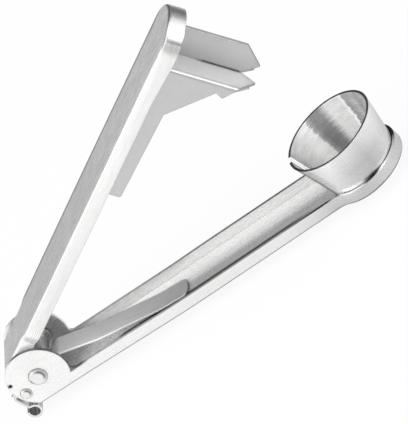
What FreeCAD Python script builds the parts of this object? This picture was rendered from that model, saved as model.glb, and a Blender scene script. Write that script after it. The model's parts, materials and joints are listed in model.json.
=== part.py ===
"""Lever stoner: two sheet arms on a riveted hinge, a cup for the fruit and a cross-shaped cutter.

All lengths are millimetres and all angles degrees.  The row frame has its origin at the centre
of the hanging eye, midway along it: +X runs along the lower arm to the cup, +Y along the hinge
axis and +Z up.  Pieces are drawn with the hinge axis as origin, each arm lying along +X with its
open side towards the other arm, and are then placed in the frame.
"""

import FreeCAD
import Part

import math
import os

# ---- overall layout --------------------------------------------------------------------------
reach = 150.0  # hinge axis to the axis of the cup
ear_radius = 12.5  # also the height of the hinge axis above the flat part of the underside
open_angle = 29.5  # angle between the arms as the spring holds them
closed_angle = 7.5  # angle at which the cutter's plates meet the rim of the cup

# ---- arm sheet -------------------------------------------------------------------------------
arm_sheet = 1.2  # also the outside radius of every bend in the arms, which are sharp inside
arm_width = 26.2  # across each channel at its widest
taper_end = 75.0  # from the hinge axis to where both arms are at their widest
lower_depth = 5.5  # height of the lower arm's channel over its sheet
lower_narrowing = 1.8  # how much narrower the lower arm is across its ears
lower_taper_start = 20.0  # from the hinge axis to where it starts to widen
crank_x = 60.0  # from here to the hinge the whole channel runs up a little
crank_rise = 1.3  # how far it has risen when it is under the hinge axis
tray_radius = 17.1
tray_flare = 9.0  # concave radius where the channel opens into the tray
floor_tail = 3.0  # how far the floor runs back past the hinge axis
ear_fillet = 2.0  # where an ear meets the top of the channel wall
pit_hole_radius = 9.5

# ---- upper arm -------------------------------------------------------------------------------
upper_back = 11.6  # hinge axis to the outside of the back
upper_depth = 5.8
upper_narrowing = 1.6  # how much narrower the upper arm is just in front of the ears
end_overhang = 4.6  # centre of the half-round end beyond the axis of the cup
end_wall_run = 17.0  # from this far before the axis of the cup the wall grows deeper
end_wall_rest = 6.0  # and this far beyond it the wall has grown by the extra depth
end_wall_extra = 1.3
joggle_start = 12.6  # where the walls step out from between the ears
joggle_end = 16.6
joggle_radius = 2.5
lug_radius = 6.2
lug_fillet = 4.0
shoulder_radius = 11.2  # stop shoulder at the back of each lug
side_gap = 0.6  # lug to ear, filled by a washer

# ---- hinge -----------------------------------------------------------------------------------
rivet_radius = 2.5
rivet_head_radius = 3.7
rivet_head_height = 1.0
running_clearance = 0.05  # radial, in every hole that turns on a pin
end_play = 0.05  # along the hinge axis
washer_radius = 5.0
bush_radius = 4.6

# ---- stop pin and latch ----------------------------------------------------------------------
stop_pin_x = -11.0
stop_pin_z = 3.0
stop_pin_radius = 1.1
stop_pin_wall = 0.4
stop_pin_slot = 0.5
stop_gap = 0.1  # pin to the lug's shoulder at rest
latch_rivet_x = -8.5
latch_rivet_z = -3.4
latch_rivet_radius = 1.5
latch_head_radius = 2.3
latch_head_height = 0.9
latch_sheet = 0.9
latch_cheek_radius = 2.5
latch_foot = (-9.5, 1.5)  # where the nose turns up (x) and the radius of the turn
latch_shoulder = (-15.2, -2.3, 1.0)  # top of the strip's leaning middle and its radius
latch_neck = (-12.7, -10.5, 0.5)  # bottom of the strip's leaning middle and its radius
eye_x = -12.2
eye_z = -13.1
eye_outer_radius = 3.0
eye_curl_start = 85.0  # the strip comes down on top of the eye and curls away from here
eye_curl_end = -200.0
catch_gap = 0.15  # latch nose to lug
catch_depth = 1.0  # how far the nose drops into the lug's notch when the arms are closed

# ---- leaf spring -----------------------------------------------------------------------------
spring_sheet = 0.8
spring_width = 10.0
spring_bends = [(52.0, -10.2, 60.0), (25.0, -5.8, 60.0), (8.7, -1.3, 2.0)]  # lower leg
spring_tip_x = 64.5
spring_tip_corner = 3.0
spring_upper_reach = 36.0

# ---- cup -------------------------------------------------------------------------------------
cup_sheet = 1.0
cup_rim_radius = 19.2
cup_rim_z = 11.0
cup_base_radius = 14.75
seam_width = 3.4
seam_angle = 186.5

# ---- cutter ----------------------------------------------------------------------------------
frame_sheet = 1.2
frame_bend = 0.6  # inside radius where a side plate folds into the web
leg_length = 61.3  # lengths from the axis of the cup towards the hinge
plate_root = 20.0
plate_corner = 3.9
plate_notch = 5.6
leg_depth = -0.8  # depths from the hinge axis towards the cup
plate_root_depth = 0.5
plate_corner_depth = 15.2
plate_notch_depth = 18.2
blade_corner_depth = 22.0
blade_notch_depth = 23.0
tooth_depth = 29.4
leg_corner_radius = 1.0
plate_root_radius = 1.5
plate_corner_radius = 0.4
web_tooth_offset = 4.7  # teeth from the axis of the cup, on the web and on the fin
fin_sheet = 1.5
fin_end_gap = 3.5  # fin to the inside of the arm's round end
fin_rear = 11.0  # how far the fin runs from the web towards the hinge
fin_tooth_offset = 5.5
fin_slot_gap = 0.2  # open slit on each side of the fin
slot_end_depth = 6.0  # where the web's slot ends and the fin's slot begins
seat_gap = 0.02  # between faces that lie on each other
margin = 5.0  # how far clipping and cutting bodies reach past the piece

# ---- worked out from the above -----------------------------------------------------------------
crank_slope = crank_rise / crank_x
lower_ear_width = arm_width - lower_narrowing
upper_root_width = arm_width - upper_narrowing
upper_end_centre = reach + end_overhang
lower_floor_top = arm_sheet - ear_radius
lower_wall_top = lower_depth - ear_radius
ear_inside = lower_ear_width / 2 - arm_sheet
lug_outside = ear_inside - side_gap
lug_inside = lug_outside - arm_sheet
upper_wall_edge = upper_back - upper_depth
upper_back_inside = upper_back - arm_sheet
arm_end_inside = upper_end_centre + arm_width / 2 - arm_sheet
cup_height = cup_rim_z - lower_floor_top

ORIGIN = FreeCAD.Vector(0, 0, 0)
Y_AXIS = FreeCAD.Vector(0, 1, 0)
Z_AXIS = FreeCAD.Vector(0, 0, 1)


# ---- drawing helpers ---------------------------------------------------------------------------
def polar(radius, angle):
    """Point at a radius and an angle from the hinge axis."""
    return (radius * math.cos(math.radians(angle)), radius * math.sin(math.radians(angle)))


def plan(point, height=0.0):
    """A point of the XY plane."""
    return FreeCAD.Vector(point[0], point[1], height)


def side(point, depth=0.0):
    """A point of the XZ plane."""
    return FreeCAD.Vector(point[0], depth, point[1])


def front(point, distance=0.0):
    """A point of the YZ plane."""
    return FreeCAD.Vector(distance, point[0], point[1])


def rounded_path(corners, plane, closed=True):
    """Wire through corners given as (u, v) or (u, v, radius), with a tangent arc at each radius."""
    points = [plane(corner) for corner in corners]
    radii = [corner[2] if len(corner) > 2 else 0.0 for corner in corners]
    last = len(points) - 1
    entries = []
    exits = []
    arcs = []
    for index, point in enumerate(points):
        if radii[index] == 0.0 or (not closed and index in (0, last)):
            entries.append(point)
            exits.append(point)
            arcs.append(None)
            continue
        back = (points[index - 1] - point).normalize()
        ahead = (points[(index + 1) % len(points)] - point).normalize()
        half = back.getAngle(ahead) / 2
        reach_along = radii[index] / math.tan(half)
        inward = (back + ahead).normalize()
        middle = point + inward * (radii[index] / math.sin(half) - radii[index])
        entries.append(point + back * reach_along)
        exits.append(point + ahead * reach_along)
        arcs.append(Part.Arc(entries[-1], middle, exits[-1]).toShape())
    edges = []
    for index in range(len(points)):
        if arcs[index] is not None:
            edges.append(arcs[index])
        follower = (index + 1) % len(points)
        if follower == 0 and not closed:
            break
        if (exits[index] - entries[follower]).Length > 1e-6:
            edges.append(Part.makeLine(exits[index], entries[follower]))
    return Part.Wire(edges)


def arc_edge(centre, radius, start, end, plane):
    """Arc about a centre from a start angle to an end angle, in degrees, either way round."""
    points = []
    for angle in (start, (start + end) / 2, end):
        offset = polar(radius, angle)
        points.append(plane((centre[0] + offset[0], centre[1] + offset[1])))
    return Part.Arc(*points).toShape()


def joined(pieces, plane):
    """Closed wire of arcs and points: points are joined by straight lines."""
    edges = []
    cursor = None
    first = None
    for piece in pieces + [None]:
        if piece is None:
            start = first
            end = None
        elif isinstance(piece, tuple):
            start = plane(piece)
            end = start
        else:
            start = piece.Vertexes[0].Point
            end = piece.Vertexes[-1].Point
            if cursor is not None and (end - cursor).Length < (start - cursor).Length:
                start, end = end, start
        if cursor is not None and (start - cursor).Length > 1e-6:
            edges.append(Part.makeLine(cursor, start))
        if piece is not None and not isinstance(piece, tuple):
            edges.append(piece)
        if first is None:
            first = start
        cursor = end
    return Part.Wire(Part.__sortEdges__(edges))


def prism(wire, direction):
    """Solid between a closed wire and its copy."""
    return Part.Face(wire).extrude(direction)


def across(wire, half_width):
    """Solid on both sides of the XZ plane."""
    solid = prism(wire, Y_AXIS * (2 * half_width))
    solid.translate(Y_AXIS * -half_width)
    return solid


def pin(radius, x, z, half_width):
    """Cylinder along Y on both sides of the middle plane."""
    start = FreeCAD.Vector(x, -half_width, z)
    return Part.makeCylinder(radius, 2 * half_width, start, Y_AXIS)


def strip(path, sheet, half_width):
    """Sheet of one thickness, with square ends, that follows a path of the XZ plane."""
    faces = [path.makeOffset2D(shift, 0, False, True) for shift in (sheet / 2, -sheet / 2)]
    ends = []
    for point in (path.OrderedVertexes[0].Point, path.OrderedVertexes[-1].Point):
        corners = []
        for face in faces:
            tips = (face.OrderedVertexes[0].Point, face.OrderedVertexes[-1].Point)
            corners.append(min(tips, key=lambda tip: (tip - point).Length))
        ends.append(Part.makeLine(*corners))
    edges = faces[0].Edges + faces[1].Edges + ends
    return across(Part.Wire(Part.__sortEdges__(edges)), half_width)


def edges_between(solid, low, high):
    """Edges that stay between two heights, less the ones that run straight across."""
    found = []
    for edge in solid.Edges:
        box = edge.BoundBox
        if box.ZMin > low - 1e-4 and box.ZMax < high + 1e-4 and box.XLength > 1e-4:
            found.append(edge)
    return found


def placed(solid, angle=0.0):
    """Turn a piece that was drawn along +X up about the hinge axis and set it in the row frame."""
    result = solid.copy()
    result.rotate(ORIGIN, Y_AXIS, -angle)
    result.translate(side((-eye_x, -eye_z)))
    return result


# ---- lower arm ---------------------------------------------------------------------------------
def lower_outline(inset, rear):
    """Plan of the lower arm, moved inwards by inset: a tapered strip that flares into the tray."""
    ear_half = lower_ear_width / 2 - inset
    arm_half = arm_width / 2 - inset
    radius = tray_radius - inset
    flare = tray_flare + inset
    rise = arm_half + flare
    flare_x = reach - math.sqrt((radius + flare) ** 2 - rise**2)
    turn = math.degrees(math.atan2(rise, flare_x - reach))
    near = rounded_path(
        [
            (rear, -ear_half),
            (lower_taper_start, -ear_half),
            (taper_end, -arm_half),
            (flare_x, -arm_half),
        ],
        plan,
        closed=False,
    )
    far = near.mirror(ORIGIN, Y_AXIS)
    near_flare = arc_edge((flare_x, -rise), flare, 90.0, 180.0 - turn, plan)
    far_flare = arc_edge((flare_x, rise), flare, -90.0, turn - 180.0, plan)
    end = arc_edge((reach, 0.0), radius, -turn, turn, plan)
    tail = Part.makeLine(plan((rear, -ear_half)), plan((rear, ear_half)))
    edges = near.Edges + far.Edges + [near_flare, far_flare, end, tail]
    return Part.Wire(Part.__sortEdges__(edges))


def crank_height(x):
    """How far the channel has risen at a place between the crank and its rear end."""
    return crank_slope * max(0.0, crank_x - x)


def lower_solid(inset, rear):
    """The lower arm's outside, or its hollow when inset is the sheet."""
    top = ear_radius + margin
    floor = inset - ear_radius
    plan_prism = prism(lower_outline(inset, rear), Z_AXIS * (2 * top + margin))
    plan_prism.translate(Z_AXIS * -top)
    far_end = reach + tray_radius + margin
    near_end = rear - margin
    profile = rounded_path(
        [
            (near_end, floor + crank_height(near_end)),
            (crank_x, floor),
            (far_end, floor),
            (far_end, top),
            (near_end, top),
        ],
        side,
    )
    return plan_prism.common(across(profile, tray_radius + margin))


def lower_side_profile():
    """Side view of the lower arm: an ear about the hinge and the low wall of the channel."""
    far_end = reach + tray_radius + margin
    below = -ear_radius - margin
    tilt = math.degrees(math.atan(crank_slope))
    wall_line = (lower_wall_top + crank_height(0.0)) * math.cos(math.radians(tilt))
    drop = math.degrees(math.asin((wall_line + ear_fillet) / (ear_radius + ear_fillet)))
    meeting = drop - tilt
    centre = polar(ear_radius + ear_fillet, meeting)
    fillet = arc_edge(centre, ear_fillet, 270.0 - tilt, 180.0 + meeting, side)
    ear = arc_edge((0.0, 0.0), ear_radius, meeting, 270.0, side)
    return joined(
        [
            (0.0, below),
            (far_end, below),
            (far_end, lower_wall_top),
            (crank_x, lower_wall_top),
            fillet,
            ear,
        ],
        side,
    )


def lower_arm():
    """Channel, tray and ears pressed from one sheet."""
    rear = -ear_radius - arm_sheet
    outside = lower_solid(0.0, rear)
    bends = edges_between(outside, -ear_radius, crank_height(rear) - ear_radius)
    shell = outside.makeFillet(arm_sheet, bends).cut(lower_solid(arm_sheet, rear - margin))
    body = shell.common(across(lower_side_profile(), tray_radius + margin))
    tail_cut = Part.makeBox(
        ear_radius,
        2 * ear_inside,
        arm_sheet + crank_height(rear),
        FreeCAD.Vector(-floor_tail - ear_radius, -ear_inside, -ear_radius),
    )
    body = body.cut(tail_cut)
    pit_hole = Part.makeCylinder(
        pit_hole_radius,
        3 * arm_sheet,
        FreeCAD.Vector(reach, 0, -ear_radius - arm_sheet),
    )
    body = body.cut(pit_hole)
    body = body.cut(pin(rivet_radius + running_clearance, 0.0, 0.0, lower_ear_width))
    body = body.cut(
        pin(latch_rivet_radius + seat_gap, latch_rivet_x, latch_rivet_z, lower_ear_width)
    )
    return body.cut(pin(stop_pin_radius + seat_gap, stop_pin_x, stop_pin_z, lower_ear_width))


# ---- upper arm ---------------------------------------------------------------------------------
def upper_outline(inset, rear):
    """Plan of the upper arm: lugs, joggle, slight taper and a half-round end."""
    lug_half = lug_outside - inset
    root_half = upper_root_width / 2 - inset
    arm_half = arm_width / 2 - inset
    near = rounded_path(
        [
            (rear, -lug_half),
            (joggle_start, -lug_half, joggle_radius + inset),
            (joggle_end, -root_half, joggle_radius + arm_sheet - inset),
            (taper_end, -arm_half),
            (upper_end_centre, -arm_half),
        ],
        plan,
        closed=False,
    )
    far = near.mirror(ORIGIN, Y_AXIS)
    end = arc_edge((upper_end_centre, 0.0), arm_half, -90.0, 90.0, plan)
    tail = Part.makeLine(plan((rear, -lug_half)), plan((rear, lug_half)))
    return Part.Wire(Part.__sortEdges__(near.Edges + far.Edges + [end, tail]))


def shoulder_angle():
    """Direction of the stop shoulder, seen along the upper arm, when it rests on the stop pin."""
    pin_distance = math.hypot(stop_pin_x, stop_pin_z)
    pin_angle = math.degrees(math.atan2(stop_pin_z, stop_pin_x))
    half_width = math.degrees(math.asin((stop_pin_radius + stop_gap) / pin_distance))
    return pin_angle - half_width - open_angle


def upper_side_profile():
    """Side view of the upper arm: low wall, lug about the hinge and the stop shoulder."""
    far_end = arm_end_inside + 2 * arm_sheet
    above = upper_back + margin
    centre_z = upper_wall_edge - lug_fillet
    centre_x = math.sqrt((lug_radius + lug_fillet) ** 2 - centre_z**2)
    meeting = math.degrees(math.atan2(centre_z, centre_x))
    fillet = arc_edge((centre_x, centre_z), lug_fillet, 90.0, 180.0 + meeting, side)
    stop = shoulder_angle()
    lug = arc_edge((0.0, 0.0), lug_radius, meeting, stop - 360.0, side)
    back_angle = 180.0 - math.degrees(math.asin(upper_back_inside / shoulder_radius))
    shoulder = arc_edge((0.0, 0.0), shoulder_radius, stop, back_angle, side)
    back_x = polar(shoulder_radius, back_angle)[0]
    return joined(
        [
            (far_end, above),
            (far_end, upper_wall_edge - end_wall_extra),
            (reach + end_wall_rest, upper_wall_edge - end_wall_extra),
            (reach - end_wall_run, upper_wall_edge),
            fillet,
            lug,
            shoulder,
            (back_x, above),
        ],
        side,
    )


def catch_angle():
    """Direction of the latch's nose from the hinge axis."""
    return math.degrees(math.atan2(nose_top(), nose_tip_x())) % 360.0


def upper_arm():
    """Channel with lugs, pressed from one sheet."""
    rear = -ear_radius
    bottom = -lug_radius - margin
    height = upper_back - bottom
    outside = prism(upper_outline(0.0, rear), Z_AXIS * height)
    outside = outside.makeFillet(arm_sheet, edges_between(outside, height, height))
    inside_rear = rear - margin
    inside = prism(upper_outline(arm_sheet, inside_rear), Z_AXIS * height)
    inside.translate(Z_AXIS * -arm_sheet)
    shell = outside.cut(inside)
    shell.translate(Z_AXIS * bottom)
    body = shell.common(across(upper_side_profile(), arm_width))
    body = body.cut(pin(rivet_radius + running_clearance, 0.0, 0.0, arm_width))
    notch_angle = catch_angle() - closed_angle
    notch_centre = polar(lug_radius, notch_angle)
    notch = Part.makeBox(
        2 * catch_depth,
        arm_width,
        latch_sheet + 4 * catch_gap,
        FreeCAD.Vector(-catch_depth, -arm_width / 2, -latch_sheet / 2 - 2 * catch_gap),
    )
    notch.rotate(ORIGIN, Y_AXIS, -notch_angle)
    notch.translate(side(notch_centre))
    return body.cut(notch)


# ---- cup ---------------------------------------------------------------------------------------
def cup():
    """Cone rolled from sheet, with its seam left open, standing on the floor of the tray."""
    bottom = lower_floor_top + seat_gap
    lean = math.atan2(cup_rim_radius - cup_base_radius, cup_height)
    wall = cup_sheet / math.cos(lean)
    profile = joined(
        [
            (cup_base_radius - wall, bottom),
            (cup_base_radius, bottom),
            (cup_rim_radius, cup_rim_z),
            (cup_rim_radius - wall, cup_rim_z),
        ],
        side,
    )
    cone = Part.Face(profile).revolve(ORIGIN, Z_AXIS, 360)
    seam = Part.makeBox(
        2 * cup_rim_radius,
        seam_width,
        2 * cup_height,
        FreeCAD.Vector(0, -seam_width / 2, bottom - cup_height / 2),
    )
    seam.rotate(ORIGIN, Z_AXIS, seam_angle)
    cone = cone.cut(seam)
    cone.translate(FreeCAD.Vector(reach, 0, 0))
    return cone


# ---- cutter ------------------------------------------------------------------------------------
def plunger_frame():
    """Sheet bracket: legs inside the arm's walls, deep side plates and a toothed web."""
    outer_half = arm_width / 2 - arm_sheet - seat_gap
    web_face = reach + frame_sheet / 2
    leg_start = reach - leg_length
    start = leg_start - margin
    top = upper_back_inside - seat_gap
    outer_bend = frame_bend + frame_sheet
    outside = rounded_path(
        [
            (start, -outer_half),
            (web_face, -outer_half, outer_bend),
            (web_face, outer_half, outer_bend),
            (start, outer_half),
        ],
        plan,
    )
    inner_half = outer_half - frame_sheet
    inner_face = web_face - frame_sheet
    inside = rounded_path(
        [
            (start - margin, -inner_half),
            (inner_face, -inner_half, frame_bend),
            (inner_face, inner_half, frame_bend),
            (start - margin, inner_half),
        ],
        plan,
    )
    height = top + tooth_depth + margin
    bent = prism(outside, Z_AXIS * height).cut(prism(inside, Z_AXIS * height))
    bent.translate(Z_AXIS * (top - height))
    plate = rounded_path(
        [
            (leg_start, top),
            (leg_start, -leg_depth, leg_corner_radius),
            (reach - plate_root, -plate_root_depth, plate_root_radius),
            (reach - plate_corner, -plate_corner_depth, plate_corner_radius),
            (reach - plate_notch, -plate_notch_depth, plate_corner_radius),
            (inner_face, -blade_corner_depth),
            (inner_face, -tooth_depth - margin),
            (web_face + margin, -tooth_depth - margin),
            (web_face + margin, top),
        ],
        side,
    )
    teeth = joined(
        [
            (-outer_half, top),
            (-outer_half, -blade_corner_depth),
            (-web_tooth_offset, -tooth_depth),
            (0.0, -blade_notch_depth),
            (web_tooth_offset, -tooth_depth),
            (outer_half, -blade_corner_depth),
            (outer_half, top),
        ],
        front,
    )
    toothed = prism(teeth, FreeCAD.Vector(web_face + margin, 0, 0))
    body = bent.common(across(plate, arm_width)).common(toothed)
    slot_half = fin_sheet / 2 + fin_slot_gap
    slot = Part.makeBox(
        4 * frame_sheet,
        2 * slot_half,
        tooth_depth,
        FreeCAD.Vector(reach - 2 * frame_sheet, -slot_half, -slot_end_depth - tooth_depth),
    )
    return body.cut(slot)


def plunger_fin():
    """Flat blade that crosses the web and is slotted over it."""
    top = upper_back_inside - seat_gap
    front_edge = arm_end_inside - fin_end_gap
    outline = joined(
        [
            (reach - fin_rear, top),
            (reach - fin_rear, -blade_corner_depth),
            (reach - fin_tooth_offset, -tooth_depth),
            (reach, -blade_notch_depth),
            (reach + fin_tooth_offset, -tooth_depth),
            (front_edge, -blade_corner_depth),
            (front_edge, top),
        ],
        side,
    )
    blade = across(outline, fin_sheet / 2)
    slot_half = frame_sheet / 2 + seat_gap
    slot = Part.makeBox(
        2 * slot_half,
        2 * fin_sheet,
        upper_back + slot_end_depth,
        FreeCAD.Vector(reach - slot_half, -fin_sheet, -seat_gap - slot_end_depth),
    )
    return blade.cut(slot)


# ---- hinge pieces ------------------------------------------------------------------------------
def headed_rivet(shank, head, head_height, x, z):
    """Rivet across both ears with a low, coned head on each side."""
    half = lower_ear_width / 2 + seat_gap
    profile = joined(
        [
            (0.0, -half - head_height),
            (head - head_height, -half - head_height),
            (head, -half - head_height / 3),
            (head, -half),
            (shank, -half),
            (shank, half),
            (head, half),
            (head, half + head_height / 3),
            (head - head_height, half + head_height),
            (0.0, half + head_height),
        ],
        plan,
    )
    rivet = Part.Face(profile).revolve(ORIGIN, Y_AXIS, 360)
    rivet.translate(side((x, z)))
    return rivet


def hinge_rivet():
    """Main rivet, on the hinge axis."""
    return headed_rivet(rivet_radius, rivet_head_radius, rivet_head_height, 0.0, 0.0)


def latch_rivet():
    """Small rivet that the latch turns on."""
    return headed_rivet(
        latch_rivet_radius,
        latch_head_radius,
        latch_head_height,
        latch_rivet_x,
        latch_rivet_z,
    )


def ring(outer, half_width):
    """Tube about the hinge axis with a running fit on the rivet."""
    return pin(outer, 0.0, 0.0, half_width).cut(
        pin(rivet_radius + running_clearance, 0.0, 0.0, half_width + margin)
    )


def hinge_bush():
    """Spacer tube between the lugs."""
    return ring(bush_radius, lug_inside - end_play)


def hinge_washers():
    """A washer between each lug and its ear."""
    thickness = side_gap - 2 * end_play
    near = ring(washer_radius, thickness / 2)
    near.translate(Y_AXIS * -(lug_outside + side_gap / 2))
    far = near.mirror(ORIGIN, Y_AXIS)
    return Part.makeCompound([near, far])


def stop_pin():
    """Slotted spring pin through both ears: the lugs' shoulders come to rest on it."""
    half = lower_ear_width / 2
    tube = pin(stop_pin_radius, stop_pin_x, stop_pin_z, half)
    bore = pin(stop_pin_radius - stop_pin_wall, stop_pin_x, stop_pin_z, half + margin)
    slot = Part.makeBox(
        2 * stop_pin_radius,
        2 * half + 2 * margin,
        stop_pin_slot,
        FreeCAD.Vector(
            stop_pin_x - 2 * stop_pin_radius, -half - margin, stop_pin_z - stop_pin_slot / 2
        ),
    )
    return tube.cut(bore).cut(slot)


# ---- latch -------------------------------------------------------------------------------------
def nose_top():
    """Height of the upper face of the latch's nose, below the latch rivet."""
    return latch_rivet_z - latch_rivet_radius - 2 * catch_gap


def nose_tip_x():
    """End of the nose, just short of the lug."""
    return -math.sqrt((lug_radius + catch_gap) ** 2 - nose_top() ** 2)


def latch():
    """Strip with a nose under the rivet, cheeks that turn on it and an end curled into an eye."""
    half = latch_sheet / 2
    curl = eye_outer_radius - half
    nose_z = nose_top() - half
    curl_start = polar(curl, eye_curl_start)
    shank = rounded_path(
        [
            (nose_tip_x() - half, nose_z),
            (latch_foot[0], nose_z, latch_foot[1]),
            latch_shoulder,
            latch_neck,
            (eye_x + curl_start[0], eye_z + curl_start[1]),
        ],
        side,
        closed=False,
    )
    eye = arc_edge((eye_x, eye_z), curl, eye_curl_start, eye_curl_end, side)
    path = Part.Wire(Part.__sortEdges__(shank.Edges + [eye]))
    body = strip(path, latch_sheet, lug_outside)
    cheek = joined(
        [
            arc_edge((latch_rivet_x, latch_rivet_z), latch_cheek_radius, 0.0, 135.0, side),
            (latch_shoulder[0] + half, latch_shoulder[1]),
            (latch_foot[0], nose_z),
            (latch_rivet_x + latch_cheek_radius, nose_z),
        ],
        side,
    )
    for sense in (1.0, -1.0):
        plate = prism(cheek, Y_AXIS * (-sense * latch_sheet))
        plate.translate(Y_AXIS * (sense * lug_outside))
        body = body.fuse(plate)
    bore = pin(
        latch_rivet_radius + running_clearance, latch_rivet_x, latch_rivet_z, lower_ear_width
    )
    return body.removeSplitter().cut(bore)


# ---- leaf spring -------------------------------------------------------------------------------
def leaf_spring():
    """Strip wrapped under and round the bush: one leg on the lower floor, one in the upper arm."""
    half = spring_sheet / 2
    wrap = bush_radius + running_clearance + half
    crease = spring_bends[-1][:2]
    distance = math.hypot(*crease)
    towards = math.degrees(math.atan2(crease[1], crease[0]))
    lower_touch = towards - math.degrees(math.acos(wrap / distance))
    upper_end = (spring_upper_reach, upper_back_inside - half - seat_gap)
    upper_distance = math.hypot(*upper_end)
    upper_towards = math.degrees(math.atan2(upper_end[1], upper_end[0])) + open_angle
    upper_touch = upper_towards + math.degrees(math.acos(wrap / upper_distance))
    tip = (spring_tip_x, lower_floor_top + half + seat_gap)
    lower_leg = rounded_path(
        [tip] + spring_bends + [polar(wrap, lower_touch)],
        side,
        closed=False,
    )
    coil = arc_edge((0.0, 0.0), wrap, lower_touch, upper_touch - 360.0, side)
    upper_leg = Part.makeLine(
        side(polar(wrap, upper_touch)), side(polar(upper_distance, upper_towards))
    )
    path = Part.Wire(Part.__sortEdges__(lower_leg.Edges + [coil, upper_leg]))
    body = strip(path, spring_sheet, spring_width / 2)
    corners = [
        edge
        for edge in body.Edges
        if abs(edge.BoundBox.XMin - spring_tip_x) < 0.1 and edge.BoundBox.YLength < 0.1
    ]
    return body.makeFillet(spring_tip_corner, corners)


# ---- files -------------------------------------------------------------------------------------
def main():
    os.makedirs("parts", exist_ok=True)
    pieces = {
        "lower_arm": placed(lower_arm()),
        "cup": placed(cup()),
        "hinge_rivet": placed(hinge_rivet()),
        "hinge_bush": placed(hinge_bush()),
        "hinge_washers": placed(hinge_washers()),
        "latch_rivet": placed(latch_rivet()),
        "stop_pin": placed(stop_pin()),
        "leaf_spring": placed(leaf_spring()),
        "latch": placed(latch()),
        "upper_arm": placed(upper_arm(), open_angle),
        "plunger_frame": placed(plunger_frame(), open_angle),
        "plunger_fin": placed(plunger_fin(), open_angle),
    }
    for name, piece in pieces.items():
        piece.exportStep(os.path.join("parts", name + ".step"))
        box = piece.BoundBox
        print(
            name,
            "solids", len(piece.Solids),
            "valid", piece.isValid(),
            "volume %.1f" % piece.Volume,
            "x %.1f..%.1f y %.1f..%.1f z %.1f..%.1f"
            % (box.XMin, box.XMax, box.YMin, box.YMax, box.ZMin, box.ZMax),
        )


main()
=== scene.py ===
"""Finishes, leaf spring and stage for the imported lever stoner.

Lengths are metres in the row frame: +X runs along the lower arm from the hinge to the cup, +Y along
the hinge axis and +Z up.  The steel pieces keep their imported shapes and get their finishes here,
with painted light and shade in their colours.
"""

import json
import math

import bmesh
import bpy
from mathutils import Matrix, Vector


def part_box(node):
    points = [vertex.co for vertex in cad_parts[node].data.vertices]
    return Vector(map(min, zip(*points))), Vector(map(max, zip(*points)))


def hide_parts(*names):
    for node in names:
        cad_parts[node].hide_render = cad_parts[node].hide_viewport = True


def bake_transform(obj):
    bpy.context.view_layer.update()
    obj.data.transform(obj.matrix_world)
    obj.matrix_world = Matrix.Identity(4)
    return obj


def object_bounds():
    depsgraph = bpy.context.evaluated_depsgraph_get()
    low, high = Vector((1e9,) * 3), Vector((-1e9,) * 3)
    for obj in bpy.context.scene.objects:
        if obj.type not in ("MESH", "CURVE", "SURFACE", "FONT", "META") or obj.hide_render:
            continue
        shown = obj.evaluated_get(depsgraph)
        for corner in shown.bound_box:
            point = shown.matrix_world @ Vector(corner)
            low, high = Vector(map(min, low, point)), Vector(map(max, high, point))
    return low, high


bl_info = {
    "name": "Lever stoner looks",
    "version": (1, 0, 0),
    "blender": (4, 5, 0),
    "location": "View3D > Sidebar > Stoner",
    "description": "Finishes, leaf spring and stage for the packed lever stoner",
    "category": "Object",
}

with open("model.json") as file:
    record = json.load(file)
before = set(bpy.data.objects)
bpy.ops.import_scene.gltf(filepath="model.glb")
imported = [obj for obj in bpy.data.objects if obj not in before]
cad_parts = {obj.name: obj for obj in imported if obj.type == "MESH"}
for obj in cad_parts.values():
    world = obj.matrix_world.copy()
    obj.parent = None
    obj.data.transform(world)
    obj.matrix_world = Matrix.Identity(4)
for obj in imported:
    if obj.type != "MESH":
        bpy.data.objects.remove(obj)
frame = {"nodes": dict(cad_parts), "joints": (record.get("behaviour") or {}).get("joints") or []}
CAD_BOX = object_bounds()
MIDDLE = (CAD_BOX[0] + CAD_BOX[1]) / 2

MM = 0.001
UP = Vector((0.0, 0.0, 1.0))
FAR_SIDE = Vector((0.0, 1.0, 0.0))
NEAR_SIDE = -FAR_SIDE

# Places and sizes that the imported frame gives.
JOINTS = {joint["name"]: joint for joint in frame["joints"]}
HINGE = Vector(JOINTS["arm_pivot"]["pos_m"])
CUP_LOW, CUP_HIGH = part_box("cup")
CUP_CENTRE = (CUP_LOW + CUP_HIGH) / 2
CUP_RIM_RADIUS = (CUP_HIGH.y - CUP_LOW.y) / 2
REACH = CUP_CENTRE.x - HINGE.x  # hinge axis to the cup's axis, and to the cutter's web
FLOOR_TOP = CUP_LOW.z  # the cup stands on the lower arm's floor
BUSH_LOW, BUSH_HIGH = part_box("hinge_bush")
BUSH_RADIUS = (BUSH_HIGH.z - BUSH_LOW.z) / 2

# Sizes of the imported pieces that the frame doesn't give.
OPEN_ANGLE = math.radians(29.5)  # lower arm to upper arm at rest
OUT_ALONG_ARM = Vector((math.cos(OPEN_ANGLE), 0.0, math.sin(OPEN_ANGLE)))
BACK_SIDE = Vector((-math.sin(OPEN_ANGLE), 0.0, math.cos(OPEN_ANGLE)))
CUP_BASE_RADIUS = 14.75 * MM
CUP_SHEET = 1.0 * MM
TAPER_START = 20.0 * MM  # from the hinge to where the arms begin to widen
TAPER_END = 75.0 * MM  # and to where they are at their widest
LOWER_HALF_WIDTHS = (12.2 * MM, 13.1 * MM)  # at the taper's two ends
UPPER_HALF_WIDTHS = (12.3 * MM, 13.1 * MM)
UPPER_BACK = 11.6 * MM  # hinge axis to the outside of the upper arm's back
UPPER_BACK_INSIDE = 10.4 * MM
END_CENTRE = 154.6 * MM  # hinge axis to the middle of the upper arm's round end


# ---- settings a user would change --------------------------------------------------------------
def steel_colour(name, description, default):
    return bpy.props.FloatVectorProperty(
        name=name,
        description=description,
        subtype="COLOR",
        size=3,
        min=0.0,
        max=1.0,
        default=default,
    )


def factor(name, description, default):
    return bpy.props.FloatProperty(
        name=name, description=description, subtype="FACTOR", min=0.0, max=1.0, default=default
    )


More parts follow.
